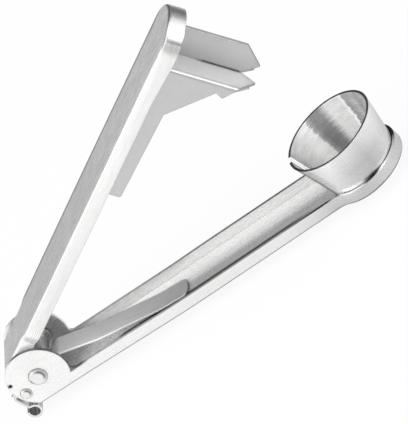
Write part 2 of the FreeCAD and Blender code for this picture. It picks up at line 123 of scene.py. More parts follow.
def length(name, description, default):
    return bpy.props.FloatProperty(
        name=name, description=description, subtype="DISTANCE", unit="LENGTH", default=default
    )


def angle(name, description, degrees):
    return bpy.props.FloatProperty(
        name=name, description=description, subtype="ANGLE", default=math.radians(degrees)
    )


class SteelSettings(bpy.types.PropertyGroup):
    """Colours and finish of the steel."""

    sheet: steel_colour("Sheet steel", "Colour of the pressed arms", (0.86, 0.86, 0.855))
    cup: steel_colour("Cup steel", "Colour of the bright cup", (0.97, 0.97, 0.965))
    satin: steel_colour("Satin steel", "Colour of the cutter's sheets", (0.60, 0.60, 0.60))
    spring: steel_colour("Spring steel", "Colour of the leaf spring", (0.90, 0.90, 0.90))
    roughness: factor("Roughness", "Mean roughness of the brushed sheet", 0.27)
    grain: factor("Grain", "Strength of the brush marks", 0.5)


class SpringSettings(bpy.types.PropertyGroup):
    """Sizes of the leaf spring."""

    thickness: length("Thickness", "Thickness of the strip", 0.8 * MM)
    width: length("Width", "Width of the strip", 10.0 * MM)
    edge_round: length("Edge round", "Radius worn onto the strip's long edges", 0.2 * MM)
    tip_round: length("Tip corners", "Radius of the two corners at the tip", 3.0 * MM)


class StageSettings(bpy.types.PropertyGroup):
    """Camera, floor and light."""

    azimuth: angle("Azimuth", "Camera's turn round the object from the near side", 24.6)
    elevation: angle("Elevation", "Camera's height over the horizon", 28.7)
    roll: angle("Roll", "Turn of the camera about its own line of sight", 46.3)
    lens: bpy.props.FloatProperty(
        name="Lens",
        description="Focal length of the camera in millimetres",
        unit="CAMERA",
        min=20.0,
        default=1500.0,
    )
    frame_height: length("Frame height", "Height of the picture at the object", 158.6 * MM)
    aim_right: length("Aim right", "Middle of the picture to the right of the hinge", 62.65 * MM)
    aim_up: length("Aim up", "Middle of the picture above the hinge", 54.3 * MM)
    aim_near: length("Aim near", "Middle of the picture before the hinge", 30.0 * MM)
    floor_radius: length("Floor radius", "Radius of the round floor", 0.7)
    far_grey: factor("Far side", "Brightness of the room behind the object", 0.24)
    front_grey: factor("Front", "Brightness of the half-lit stretch before the object", 0.45)
    lamp_power: bpy.props.FloatProperty(
        name="Lamp power",
        description="Power of each lamp",
        unit="POWER",
        min=0.0,
        default=1.2,
    )


# ---- shader arithmetic -------------------------------------------------------------------------
class Value:
    """A socket of a shader that takes part in Python arithmetic."""

    def __init__(self, graph, socket):
        self.graph = graph
        self.socket = socket

    def maths(self, operation, *values):
        return self.graph.add("ShaderNodeMath", {"operation": operation}, dict(enumerate(values)))

    def __add__(self, other):
        return self.maths("ADD", self, other)

    def __radd__(self, other):
        return self.maths("ADD", other, self)

    def __sub__(self, other):
        return self.maths("SUBTRACT", self, other)

    def __rsub__(self, other):
        return self.maths("SUBTRACT", other, self)

    def __mul__(self, other):
        return self.maths("MULTIPLY", self, other)

    def __rmul__(self, other):
        return self.maths("MULTIPLY", other, self)

    def __truediv__(self, other):
        return self.maths("DIVIDE", self, other)

    def __rtruediv__(self, other):
        return self.maths("DIVIDE", other, self)

    def __pow__(self, other):
        return self.maths("POWER", self, other)

    def __rpow__(self, other):
        return self.maths("POWER", other, self)

    def __abs__(self):
        return self.maths("ABSOLUTE", self)

    def larger(self, other):
        return self.maths("MAXIMUM", self, other)

    def clamped(self):
        return self.maths("MINIMUM", self.larger(0.0), 1.0)


class Graph:
    """Node tree of a material or the world, with one way to add a node."""

    def __init__(self, tree):
        self.tree = tree
        tree.nodes.clear()

    def add(self, kind, settings=None, inputs=None, output=0):
        """Add a node: its settings first, then the values or links of its sockets."""
        node = self.tree.nodes.new(kind)
        for name, setting in (settings or {}).items():
            if name == "stops":
                self.set_stops(node.color_ramp, setting)
            else:
                setattr(node, name, setting)
        for name, value in (inputs or {}).items():
            if isinstance(value, Value):
                self.tree.links.new(value.socket, node.inputs[name])
            else:
                node.inputs[name].default_value = value
        if not node.outputs:
            return None
        return Value(self, node.outputs[output])

    @staticmethod
    def set_stops(ramp, stops):
        """Grey levels of a colour ramp as (position, level) pairs."""
        ramp.elements.remove(ramp.elements[1])
        ramp.elements[0].position = stops[0][0]
        for position, level in stops[1:]:
            ramp.elements.new(position)
        for element, (position, level) in zip(ramp.elements, stops):
            element.color = (level, level, level, 1.0)

    def remap(self, value, low, high, to_low, to_high, smooth=False):
        """Value moved from one range to another and held inside it."""
        return self.add(
            "ShaderNodeMapRange",
            {"interpolation_type": "SMOOTHSTEP" if smooth else "LINEAR"},
            {0: value, 1: low, 2: high, 3: to_low, 4: to_high},
        )

    def rise(self, value, start, full, level=1.0):
        """0 before start and level beyond full, whichever of the two is larger."""
        return self.remap(value, start, full, 0.0, level)

    def mix(self, share, first, second):
        """Colour between two colours."""
        return self.add(
            "ShaderNodeMix", {"data_type": "RGBA"}, {0: share, 6: first, 7: second}, output=2
        )

    def dot(self, first, second):
        """How far one direction agrees with another."""
        return self.add(
            "ShaderNodeVectorMath", {"operation": "DOT_PRODUCT"}, {0: first, 1: second}, output=1
        )

    def ramp(self, value, stops):
        """Grey level from a list of (position, level) stops."""
        return self.add("ShaderNodeValToRGB", {"stops": stops}, {0: value})

    def noise(self, vector, detail=2.0, roughness=0.5):
        """Noise from 0 to 1 over a vector that already has its scale."""
        return self.add(
            "ShaderNodeTexNoise",
            None,
            {"Vector": vector, "Scale": 1.0, "Detail": detail, "Roughness": roughness},
        )


def object_position(graph):
    return graph.add("ShaderNodeTexCoord", output=3)


def object_normal(graph):
    return graph.add("ShaderNodeTexCoord", output=1)


def scaled(graph, vector, scale):
    return graph.add("ShaderNodeVectorMath", {"operation": "MULTIPLY"}, {0: vector, 1: scale})


def combined(graph, x, y, z):
    return graph.add("ShaderNodeCombineXYZ", None, {0: x, 1: y, 2: z})


def parts_of(graph, vector):
    """X, Y and Z of a vector as three values."""
    node = graph.add("ShaderNodeSeparateXYZ", None, {0: vector}).socket.node
    return [Value(graph, socket) for socket in node.outputs]


def place(graph):
    """X, Y and Z of the point on the surface."""
    return parts_of(graph, object_position(graph))


def along_upper_arm(graph):
    """Position with X along the open upper arm, for its grain."""
    return graph.add(
        "ShaderNodeMapping",
        None,
        {"Vector": object_position(graph), "Rotation": (0.0, OPEN_ANGLE, 0.0)},
    )


def place_on_upper_arm(graph):
    """X along the upper arm from the hinge axis, Y, and Z towards its back."""
    turned = graph.add(
        "ShaderNodeMapping",
        {"vector_type": "TEXTURE"},
        {
            "Vector": object_position(graph),
            "Location": HINGE,
            "Rotation": (0.0, -OPEN_ANGLE, 0.0),
        },
    )
    return parts_of(graph, turned)


def from_axis(graph, centre):
    """How far along X and Z, and in all, a point is from an axis along Y through centre."""
    x, _, z = place(graph)
    x = x - centre.x
    z = z - centre.z
    return x, z, (x * x + z * z) ** 0.5


def cup_angle(graph):
    """Turn about the cup's axis from +X towards +Y, in radians."""
    x, y, _ = place(graph)
    return y.maths("ARCTAN2", y, x - CUP_CENTRE.x)


def around_cup(graph):
    """Position on the cone: way round it, nothing, and height."""
    return combined(graph, cup_angle(graph) * CUP_RIM_RADIUS, 0.0, place(graph)[2])


def turned_to(graph, direction, start, full):
    """0 to 1 where the piece's surface turns towards a direction of its own."""
    return graph.rise(graph.dot(object_normal(graph), direction), start, full)


def within(graph, value, low, high, soft):
    """1 between two limits and 0 beyond a soft border round them."""
    return graph.rise(value, low - soft, low + soft) * graph.rise(value, high + soft, high - soft)


def between_turns(graph, turn, low, high, soft):
    """The same for a turn about the cup's axis, with limits and border in degrees."""
    return within(graph, turn, math.radians(low), math.radians(high), math.radians(soft))


def left_after(first, *others):
    """What is left of 1 when each share is taken off in turn."""
    left = 1.0 - first
    for share in others:
        left = left * (1.0 - share)
    return left


# ---- steel -------------------------------------------------------------------------------------
EDGE_BREAK = 0.4 * MM  # radius that tumbling leaves on every cut edge
# Dark cut edges, with painted shade that is strongest on the unlit side: how strong it is, and its
# colour.
EDGE_DARKENING = 0.9
EDGE_SHADE_COLOUR = (0.05, 0.05, 0.05, 1.0)
LIT_EDGE_SHARE = 0.35  # how dark an edge on the lit side is beside one on the unlit side
STREAK_CONTRAST = 0.35  # of colour and roughness, at full grain
FINE_SHARE = 0.7  # of the fine streaks in it
WIDE_SHARE = 0.5  # and of the wide ones
WIDE_STREAKS = 0.13  # how many wide streaks there are to each fine one
CLOUD_ROUGHNESS = 0.10
BUMP_STRENGTH = 0.06  # at full grain
BUMP_HEIGHT = 0.2 * MM
EVEN_GRAIN = (900.0, 900.0, 900.0)


def break_and_shade_edges(graph, lit_share):
    """Normal with every sharp edge broken, and a mask of the dark cut edges, with painted shade
    strongest towards the unlit +Y side.
    """
    rounded_normal = graph.add("ShaderNodeBevel", {"samples": 6}, {"Radius": EDGE_BREAK})
    flat_normal = graph.add("ShaderNodeNewGeometry", output=1)
    edge = graph.rise(graph.dot(rounded_normal, flat_normal), 0.995, 0.85)
    unlit = graph.remap(graph.dot(rounded_normal, FAR_SIDE), -0.35, 0.25, lit_share, 1.0)
    return rounded_normal, edge * unlit


def over_surface(graph, amount):
    """A number, or what a function of the graph makes of it over the surface."""
    return amount(graph) if callable(amount) else amount


def steel(
    name,
    colour,
    roughness,
    surface,
    streak,
    grain,
    mottle=0.0,
    blotches=(160.0, 520.0, 520.0),
    tone=None,
    metallic=1.0,
    edges=EDGE_DARKENING,
    lit_share=LIT_EDGE_SHARE,
):
    """Brushed steel: fine streaks along the grain, soft mottling, matching roughness and bump, and
    dark cut edges with painted shade.

    surface gives the position on the sheet, streak and blotches how many there are to a metre
    along and across it, and tone the level of the colour for the painted light and shade that
    belong to one piece.
    tone, mottle and metallic may each be a function of the graph."""
    material = bpy.data.materials.new(name)
    material.use_nodes = True
    graph = Graph(material.node_tree)
    where = surface(graph)
    fine = graph.noise(scaled(graph, where, streak), detail=3.0, roughness=0.6)
    wide_streak = tuple(count * WIDE_STREAKS for count in streak)
    wide = graph.noise(scaled(graph, where, wide_streak), detail=2.0)
    cloud = graph.noise(scaled(graph, where, blotches), detail=4.0, roughness=0.6) - 0.5
    marks = (fine - 0.5) * FINE_SHARE + (wide - 0.5) * WIDE_SHARE
    marks = marks * (STREAK_CONTRAST * grain)
    level = 1.0 + marks + cloud * over_surface(graph, mottle)
    # tone is the piece's painted light and shade on its colour
    if tone is not None:
        level = level * tone(graph)
    shade = combined(graph, *(level * channel for channel in colour))
    broken_edge, edge = break_and_shade_edges(graph, lit_share)
    bump = graph.add(
        "ShaderNodeBump",
        None,
        {
            "Strength": BUMP_STRENGTH * grain,
            "Distance": BUMP_HEIGHT,
            "Height": fine,
            "Normal": broken_edge,
        },
    )
    brushed = graph.add(
        "ShaderNodeBsdfPrincipled",
        None,
        {
            # painted shade darkens the edges
            "Base Color": graph.mix(edge * edges, shade, EDGE_SHADE_COLOUR),
            "Metallic": over_surface(graph, metallic),
            "Roughness": (roughness + marks + cloud * CLOUD_ROUGHNESS).clamped(),
            "Normal": bump,
        },
    )
    graph.add("ShaderNodeOutputMaterial", None, {"Surface": brushed})
    return material


def dress(node_name, material):
    """Give a CAD node its material."""
    mesh = frame["nodes"][node_name].data
    mesh.materials.clear()
    mesh.materials.append(material)


# ---- lower arm ---------------------------------------------------------------------------------
def far_half(graph, from_hinge, y):
    """1 on the far half of the channel past the ear, where the floor catches more light."""
    return graph.rise(from_hinge, 16 * MM, 24 * MM) * graph.rise(y, 0.0, 3.5 * MM)


class LowerArmPlaces:
    """Where a point of the lower arm is, as the values and masks that its shades share."""

    def __init__(self, graph):
        x, self.y, z = place(graph)
        self.from_hinge = x - HINGE.x
        self.to_cup = CUP_CENTRE.x - x
        self.before_cup = graph.rise(self.to_cup, 13 * MM, 16 * MM)
        self.from_cup = (self.to_cup * self.to_cup + self.y * self.y) ** 0.5
        self.turn = cup_angle(graph)
        self.upwards = turned_to(graph, UP, 0.85, 0.95)
        above_floor = graph.rise(z, FLOOR_TOP + 2.2 * MM, FLOOR_TOP + 2.6 * MM)
        self.floor = self.upwards * (1.0 - above_floor)
        self.rim = self.upwards * above_floor


class STONER_OT_lower_arm(bpy.types.Operator):
    """Brushed finish along the lower arm, with painted light and shade"""

    bl_idname = "stoner.lower_arm"
    bl_label = "Lower arm"

    def execute(self, context):
        steel_set = context.scene.stoner_steel
        finish = steel(
            "lower arm sheet",
            steel_set.sheet,
            steel_set.roughness,
            surface=object_position,
            streak=(60.0, 2600.0, 2600.0),
            grain=steel_set.grain * 0.8,
            mottle=0.10,
            tone=self.shades,
            metallic=self.shine,
        )
        dress("lower_arm", finish)
        return {"FINISHED"}

    @staticmethod
    def shine(graph):
        """The sheet is duller where the spring and the hinge have rubbed it."""
        x, y, _ = place(graph)
        from_hinge = x - HINGE.x
        shine = graph.remap(from_hinge, 40 * MM, 70 * MM, 0.55, 0.86)
        rear = graph.rise(from_hinge, -2 * MM, -5 * MM, 0.3)
        before_tray = graph.rise(from_hinge, REACH - 14 * MM, REACH - 20 * MM)
        return shine - rear - far_half(graph, from_hinge, y) * before_tray * 0.42

    def shades(self, graph):
        """Painted light and shade: every dark and bright stretch of the arm, as a factor on its
        colour.
        """
        at = LowerArmPlaces(graph)
        # painted shade on the faces and bends that turn downwards
        under = turned_to(graph, -UP, 0.1, 0.55) * 0.75
        shadow_behind_cup, wall_light_and_shade = self.tray(graph, at)
        inner_ear_shade, rear_highlight, ear_edge_shade = self.ears(graph, at)
        gain = self.painted_floor_light(graph, at) + self.rim_highlight_and_shade(graph, at) + rear_highlight + wall_light_and_shade
        return (1.0 + gain) * left_after(
            under,
            self.shaded_wall_tops(graph, at),
            self.floor_shadow(graph, at),
            shadow_behind_cup,
            inner_ear_shade,
            ear_edge_shade,
        )

    @staticmethod
    def shaded_wall_tops(graph, at):
        """Painted shade: the top of the far wall is dark all along, that of the near wall only by
        the cup.
        """
        far_wall = graph.remap(at.from_hinge, 30 * MM, 100 * MM, 0.3, 0.75)
        near_wall = graph.remap(at.to_cup, 22 * MM, 38 * MM, 0.95, 0.1)
        near_side = graph.rise(at.y, 2 * MM, -2 * MM)
        return at.rim * at.before_cup * (near_side * (near_wall - far_wall) + far_wall)

    @staticmethod
    def painted_floor_light(graph, at):
        """Painted light: the floor is brighter down its middle, by the hinge, under the spring and
        far off.
        """
        middle = graph.rise(at.y, 5 * MM, 0.0)
        by_hinge = graph.rise(at.from_hinge, 70 * MM, 40 * MM)
        far_gain = graph.remap(at.from_hinge, 20 * MM, 65 * MM, 0.6, 0.22)
        far_gain = far_gain * far_half(graph, at.from_hinge, at.y)
        under_spring = within(graph, at.from_hinge, 12.5 * MM, 32 * MM, 1.5 * MM)
        under_spring = under_spring * graph.rise(at.y, 3 * MM, 1 * MM, 0.7)
        return (middle.larger(by_hinge) * 0.16 + far_gain + under_spring) * at.floor

    @staticmethod
    def floor_shadow(graph, at):
        """Shadow round the cup's foot and on the strip of floor along the near wall."""
        foot = within(graph, at.from_cup, CUP_BASE_RADIUS, CUP_BASE_RADIUS + 0.7 * MM, 0.1 * MM)
        half_width = graph.remap(at.from_hinge, TAPER_START, TAPER_END, *LOWER_HALF_WIDTHS)
        strip = graph.rise(at.y + half_width, 9.95 * MM, 9.25 * MM, 0.85)
        strip = strip * within(graph, at.from_hinge, 27 * MM, REACH - 30 * MM, 7 * MM)
        return (foot * 0.8 + strip) * at.floor

    @staticmethod
    def rim_highlight_and_shade(graph, at):
        """Painted highlight on the tray's rim, but for one stretch of painted shade on its near
        side.
        """
        dark = between_turns(graph, at.turn, -83, -61, 4)
        return at.rim * (1.0 - at.before_cup) * (0.25 - dark * 1.1)

    @staticmethod
    def tray(graph, at):
        """The painted shadow behind the cup, and the painted light and shade of the tray's wall
        round its outside.
        """
        normal_x, normal_y, _ = parts_of(graph, object_normal(graph))
        outward = (normal_y * at.y - normal_x * at.to_cup) / at.from_cup
        inner = graph.rise(outward, 0.6, 0.3)
        on_tray = graph.rise(at.from_cup, CUP_BASE_RADIUS - 1 * MM, CUP_BASE_RADIUS)
        shadow_behind_cup = inner * on_tray * between_turns(graph, at.turn, 0, 75, 8) * 0.97
        level = graph.remap(at.turn, math.radians(-125), math.radians(-40), -0.22, 0.12)
        return shadow_behind_cup, level * left_after(inner, at.upwards) * on_tray

    @staticmethod
    def ears(graph, at):
        """Painted shade inside the far ear, the gain of a painted highlight on its rear, and
        painted shade on the near ear's edge.
        """
        far_ear = turned_to(graph, NEAR_SIDE, 0.8, 0.95) * graph.rise(at.y, 0.0, 2 * MM)
        inner = far_ear * within(graph, at.from_hinge, -4 * MM, 13 * MM, 3 * MM) * 0.4
        rear = far_ear * graph.rise(at.from_hinge, -2 * MM, -5 * MM, 0.4)
        _, over_hinge, distance = from_axis(graph, HINGE)
        edge = graph.rise(distance, 12.2 * MM, 12.4 * MM, 0.8)
        edge = edge * graph.rise(over_hinge, -6.8 * MM, -6.2 * MM)
        edge = edge * within(graph, at.from_hinge, -4 * MM, 18 * MM, 2 * MM)
        return inner, rear, edge * graph.rise(at.y, 0.0, -2 * MM)


# ---- upper arm ---------------------------------------------------------------------------------
# Where the round end's wall faces, with the arm open, for its painted highlight, its painted dark
# patch of reflection and its painted shade at the tip.
END_HIGHLIGHT = Vector((0.738, -0.530, 0.417)).normalized()
END_SHADED_PATCH = Vector((0.548, -0.777, 0.310)).normalized()
END_TIP_SHADE = Vector((0.84, 0.259, 0.476)).normalized()


def back_mask(graph):
    """1 on the flat of the upper arm's back."""
    return turned_to(graph, BACK_SIDE, 0.9, 0.98)


class STONER_OT_upper_arm(bpy.types.Operator):
    """Mottled brushed finish along the upper arm, with painted light and shade"""

    bl_idname = "stoner.upper_arm"
    bl_label = "Upper arm"

    def execute(self, context):
        steel_set = context.scene.stoner_steel
        finish = steel(
            "upper arm sheet",
            steel_set.sheet,
            steel_set.roughness,
            surface=along_upper_arm,
            streak=(90.0, 800.0, 2200.0),
            grain=steel_set.grain * 1.5,
            mottle=self.mottle,
            blotches=(170.0, 620.0, 900.0),
            tone=self.shades,
            metallic=self.shine,
        )
        dress("upper_arm", finish)
        return {"FINISHED"}

    @staticmethod
    def mottle(graph):
        """The back is blotchy, the walls hardly."""
        return back_mask(graph) * 0.6 + 0.2

    @staticmethod
    def shine(graph):
        """The lugs and the step in the walls beside them are rubbed dull, the back isn't."""
        _, _, distance = from_axis(graph, HINGE)
        near_side = graph.rise(place(graph)[1], 2 * MM, -2 * MM, 0.65)
        lugs = graph.rise(distance, 24 * MM, 16 * MM) * near_side
        return 1.0 - (1.0 - back_mask(graph)) * lugs

    @staticmethod
    def shades(graph):
        """Painted light and shade: bright near wall, dark far bend, and light and dark stretches
        round the end.
        """
        x, y, z = place_on_upper_arm(graph)
        half_width = graph.remap(x, TAPER_START, TAPER_END, *UPPER_HALF_WIDTHS)
        back = back_mask(graph)
        near_wall = turned_to(graph, NEAR_SIDE, 0.8, 0.95)
        under_back = graph.remap(z, UPPER_BACK - 5.5 * MM, UPPER_BACK - 1.5 * MM, 0.03, 0.14)
        near_edge = graph.rise(half_width + y, 4 * MM, 0.0, 0.16)
        # painted highlight on the round end
        bright = turned_to(graph, END_HIGHLIGHT, 0.93, 0.97) * 0.3
        bend = within(graph, graph.dot(object_normal(graph), BACK_SIDE), 0.55, 0.85, 0.08)
        # painted light in the gain; painted shade in the shares taken off: far bend, end patch, tip
        # and bend, back and near wall by the hinge
        return (1.0 + near_wall * under_back + back * near_edge + bright) * left_after(
            graph.rise(half_width - y, 3.2 * MM, 2.2 * MM, 0.6),
            turned_to(graph, END_SHADED_PATCH, 0.984, 0.994) * 0.62,
            turned_to(graph, END_TIP_SHADE, 0.93, 0.98) * 0.3,
            bend * graph.rise(x, END_CENTRE - 6 * MM, END_CENTRE + 4 * MM, 0.65),
            back * graph.rise(x, 140 * MM, 35 * MM, 0.28),
            near_wall * graph.rise(x, 100 * MM, 40 * MM, 0.08),
        )


# ---- cup ---------------------------------------------------------------------------------------
# Painted reflection bands down the inside: how far round the half turn from +X past +Y, and the
# level.
INNER_REFLECTION_BANDS = (
    (0.18, 0.58),
    (0.27, 0.52),
    (0.30, 0.70),
    (0.385, 0.48),
    (0.395, 1.2),
    (0.408, 1.2),
    (0.420, 0.96),
    (0.53, 1.03),
    (0.59, 0.42),
    (0.66, 0.36),
    (0.70, 0.55),
    (0.715, 1.03),
    (0.80, 1.0),
    (0.87, 0.84),
    (0.93, 0.72),
    (0.98, 0.58),
)
# Painted light and shade round the outside: how far on from -180 to 60 degrees, and the level.
OUTER_SHADE = (
    (0.0, 0.80),
    (0.110, 0.80),
    (0.125, 0.08),
    (0.175, 0.10),
    (0.192, 0.35),
    (0.212, 0.84),
    (0.35, 0.86),
    (0.52, 0.68),
    (0.60, 0.86),
    (0.66, 1.05),
    (0.78, 1.0),
)
RAGGED_EDGES = (60.0, 1.0, 900.0)  # waves to a metre of the bands' edges
WAVER = 0.16  # how far those edges wander, in radians


class STONER_OT_cup(bpy.types.Operator):
    """Grain that runs down the cup's cone, with painted reflection bands, light and shade"""

    bl_idname = "stoner.cup"
    bl_label = "Cup"

    def execute(self, context):
        steel_set = context.scene.stoner_steel
        finish = steel(
            "cup sheet",
            steel_set.cup,
            steel_set.roughness,
            surface=around_cup,
            streak=(110.0, 1.0, 2400.0),
            grain=steel_set.grain * 0.55,
            mottle=lambda graph: self.inside(graph) * 0.6 + 0.05,
            blotches=(90.0, 1.0, 420.0),
            tone=self.shades,
            metallic=lambda graph: self.inside(graph) * -0.4 + 0.6,
        )
        dress("cup", finish)
        return {"FINISHED"}

    @staticmethod
    def height(graph):
        """0 at the cup's foot and 1 at its rim."""
        return (place(graph)[2] - CUP_LOW.z) / (CUP_HIGH.z - CUP_LOW.z)

    def inside(self, graph):
        """1 on the inner face of the cone."""
        x, y, _ = place(graph)
        x = x - CUP_CENTRE.x
        outside = self.height(graph) * (CUP_RIM_RADIUS - CUP_BASE_RADIUS) + CUP_BASE_RADIUS
        depth = outside - (x * x + y * y) ** 0.5
        return graph.rise(depth, 0.4 * CUP_SHEET, 0.6 * CUP_SHEET)

    def shades(self, graph):
        """Painted reflection bands down the inside, broad painted light and shade outside, a dark
        rim and a white seam.
        """
        height = self.height(graph)
        inside = self.inside(graph)
        turn = cup_angle(graph)
        ragged = graph.noise(scaled(graph, around_cup(graph), RAGGED_EDGES), detail=3.0)
        waver = (ragged - 0.5) * WAVER
        inner = self.painted_reflection_bands(graph, turn + waver, height)
        outer = self.outer_shades(graph, turn, height, waver)
        rim = turned_to(graph, UP, 0.75, 0.9) * graph.rise(height, 0.9, 0.95, 0.92)
        seam = turned_to(graph, NEAR_SIDE, 0.85, 0.95)
        seam = seam * within(graph, place(graph)[1], -3 * MM, 3 * MM, 0.2 * MM)
        level = inner * inside + outer * (1.0 - inside)
        return level * left_after(seam, rim) + seam * 1.3

    @staticmethod
    def painted_reflection_bands(graph, turn, height):
        """The painted reflection bands, which stand out more towards the foot."""
        level = graph.ramp(graph.rise(turn, 0.0, math.pi), INNER_REFLECTION_BANDS)
        return level * ((level - 0.5) * graph.rise(height, 0.95, 0.45, 0.65) + 1.0)

    @staticmethod
    def outer_shades(graph, turn, height, waver):
        """Painted soft shade, a painted highlight towards the rim on the near side, and painted
        shadow at the foot and by the tray.
        """
        level = graph.ramp(graph.rise(turn, -math.pi, math.pi / 3), OUTER_SHADE)
        foot = graph.remap(height, 0.04, 0.08, 0.35, 1.0)
        near_rim = between_turns(graph, turn, -95, 20, 15) * graph.rise(height, 0.55, 0.95, 0.4)
        near_foot = between_turns(graph, turn, -77, -53, 6)
        near_foot = near_foot * graph.rise(height + waver * 0.15, 0.25, 0.22, 0.85)
        far_foot = between_turns(graph, turn, -35, 25, 12) * graph.rise(height, 0.24, 0.18, 0.9)
        return level * foot * (1.0 + near_rim) * left_after(near_foot, far_foot)


# ---- cutter ------------------------------------------------------------------------------------
# Share of the painted edge shade on each of the cutter's two pieces.
CUTTER_EDGE_SHADE = {"plunger_frame": 0.9, "plunger_fin": 0.45}  # share of the edge darkening


class STONER_OT_cutter(bpy.types.Operator):
    """Satin finish of the cutter's bracket and fin, with painted light and shade"""

    bl_idname = "stoner.cutter"
    bl_label = "Cutter"

    def execute(self, context):
        steel_set = context.scene.stoner_steel
        for name, edges in CUTTER_EDGE_SHADE.items():
            finish = steel(
                name.replace("_", " ") + " sheet",
                steel_set.satin,
                steel_set.roughness + 0.12,
                surface=along_upper_arm,
                streak=EVEN_GRAIN,
                grain=steel_set.grain * 0.9,
                mottle=0.10,
                tone=self.shades,
                metallic=lambda graph: 1.0 - self.web_face(graph) * 0.45,
                edges=EDGE_DARKENING * edges,
                lit_share=0.8,
            )
            dress(name, finish)
        return {"FINISHED"}

    @staticmethod
    def web_face(graph):
        """1 on the web's outside."""
        beyond_web = place_on_upper_arm(graph)[0] - REACH
        on_web = graph.rise(beyond_web, 3 * MM, 2 * MM)
        return turned_to(graph, OUT_ALONG_ARM, 0.97, 0.99) * on_web

    def shades(self, graph):
        """Painted light and shade: the fin is darker by the web, with a shadow line there, its
        outer edge and the web's outside are brighter and the bend between them darker.
        """
        x, _, z = place_on_upper_arm(graph)
        beyond_web = x - REACH
        fin_face = turned_to(graph, NEAR_SIDE, 0.8, 0.95)
        fin_face = fin_face * graph.rise(beyond_web, 0.5 * MM, 0.7 * MM)
        by_web = graph.rise(beyond_web, 10 * MM, 0.8 * MM, 0.27)
        by_arm = graph.rise(z, -24 * MM, -8 * MM, 0.1)
        line = within(graph, beyond_web, 0.6 * MM, 1.3 * MM, 0.1 * MM) * 0.6
        line = line * within(graph, z, -23 * MM, -8 * MM, 0.5 * MM)
        outer_edge_highlight = turned_to(graph, OUT_ALONG_ARM, 0.9, 0.97)
        outer_edge_highlight = outer_edge_highlight * graph.rise(beyond_web, 2 * MM, 3 * MM, 0.6)
        bend = turned_to(graph, (OUT_ALONG_ARM + NEAR_SIDE).normalized(), 0.93, 0.99) * 0.14
        gain = outer_edge_highlight + self.web_face(graph) * 0.3 - bend
        return (1.0 + gain) * left_after((by_web + by_arm) * fin_face, line * fin_face)


# ---- hinge and latch ---------------------------------------------------------------------------
# Side of the painted shade crescent on the rivets' heads.
CRESCENT_SIDE = Vector((0.95, 0.0, 0.3)).normalized()  # of the rivets' heads
NEVER_ZERO = 0.01 * MM  # added to a distance that divides


class STONER_OT_hinge(bpy.types.Operator):
    """Steel of the rivets, bush, washers, stop pin and latch, with painted shade"""

    bl_idname = "stoner.hinge"
    bl_label = "Hinge pieces"

    def execute(self, context):
        steel_set = context.scene.stoner_steel
        tones = {
            "hinge_rivet": lambda graph: self.head_shade(graph, "hinge_rivet"),
            "latch_rivet": lambda graph: self.head_shade(graph, "latch_rivet"),
            "hinge_bush": self.bush_shade,
            "hinge_washers": None,
            "stop_pin": self.bore_shade,
            "latch": self.latch_shade,
        }
        for name, tone in tones.items():
            finish = steel(
                name.replace("_", " ") + " steel",
                steel_set.sheet,
                steel_set.roughness - 0.05,
                surface=object_position,
                streak=EVEN_GRAIN,
                grain=steel_set.grain * 0.6,
                tone=tone,
            )
            dress(name, finish)
        return {"FINISHED"}

    @staticmethod
    def head_shade(graph, name):
        """Painted shade: a dark rim and a soft crescent on one side of a domed head."""
        low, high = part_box(name)
        radius = (high.z - low.z) / 2
        x, z, distance = from_axis(graph, (low + high) / 2)
        rim = graph.rise(distance, radius * 0.88, radius * 0.96, 0.6)
        ring = within(graph, distance, radius * 0.55, radius * 0.85, radius * 0.1)
        towards = (x * CRESCENT_SIDE.x + z * CRESCENT_SIDE.z) / (distance + NEVER_ZERO)
        return left_after(rim, ring * graph.rise(towards, 0.1, 0.8, 0.75))

    @staticmethod
    def bush_shade(graph):
        """Painted shade: the bush is darker all over, and darkest at both ends."""
        return graph.remap(abs(place(graph)[1]), 6 * MM, 9 * MM, 0.7, 0.5)

    @staticmethod
    def bore_shade(graph):
        """Painted shade: black bore of the stop pin."""
        low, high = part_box("stop_pin")
        _, _, distance = from_axis(graph, (low + high) / 2)
        return graph.remap(distance, 0.65 * MM, 0.8 * MM, 0.05, 0.9)

    @staticmethod
    def latch_shade(graph):
        """Painted shade inside the hanging eye, which is round the origin, and a little on the
        strip beyond its bright ring.
        """
        _, _, distance = from_axis(graph, Vector())
        bore = graph.remap(distance, 2.1 * MM, 2.3 * MM, 0.7, 1.0)
        strip = graph.remap(distance, 3.1 * MM, 3.5 * MM, 1.0, 0.9)
        return bore * strip


# ---- leaf spring -------------------------------------------------------------------------------
# Bends of the lower leg from its tip to the bush: X, Z and radius in millimetres from the hinge.
SPRING_BENDS = ((64.5, -10.88, 0.0), (52.0, -10.2, 60.0), (25.0, -5.8, 60.0), (8.7, -1.3, 2.0))
SPRING_UPPER_REACH = 36.0 * MM
RUNNING_CLEARANCE = 0.05 * MM
GRAIN_SLOPE = 0.16  # radians that the lower leg falls towards its tip
BEND_STEP = math.radians(1.5)
COIL_STEPS = 40
LINE_SPACING = 1.5 * MM
TIP_SPACING = 0.15 * MM
CORNER_STEPS = 4


def rounded(corners, step):
    """Points along corners (x, z, radius) with each inner corner rounded to its radius."""
    points = [Vector((corners[0][0], corners[0][1]))]
    for before, corner, after in zip(corners, corners[1:], corners[2:]):
        here = Vector(corner[:2])
        back = (Vector(before[:2]) - here).normalized()
        ahead = (Vector(after[:2]) - here).normalized()
        half = back.angle(ahead) / 2
        centre = here + (back + ahead).normalized() * (corner[2] / math.sin(half))
        start = here + back * (corner[2] / math.tan(half)) - centre
        turn = math.pi - 2 * half
        sense = 1.0 if back.cross(ahead) < 0 else -1.0
        count = max(2, round(turn / step))
        for index in range(count + 1):
            points.append(centre + Matrix.Rotation(sense * turn * index / count, 2) @ start)
    points.append(Vector((corners[-1][0], corners[-1][1])))
    return points


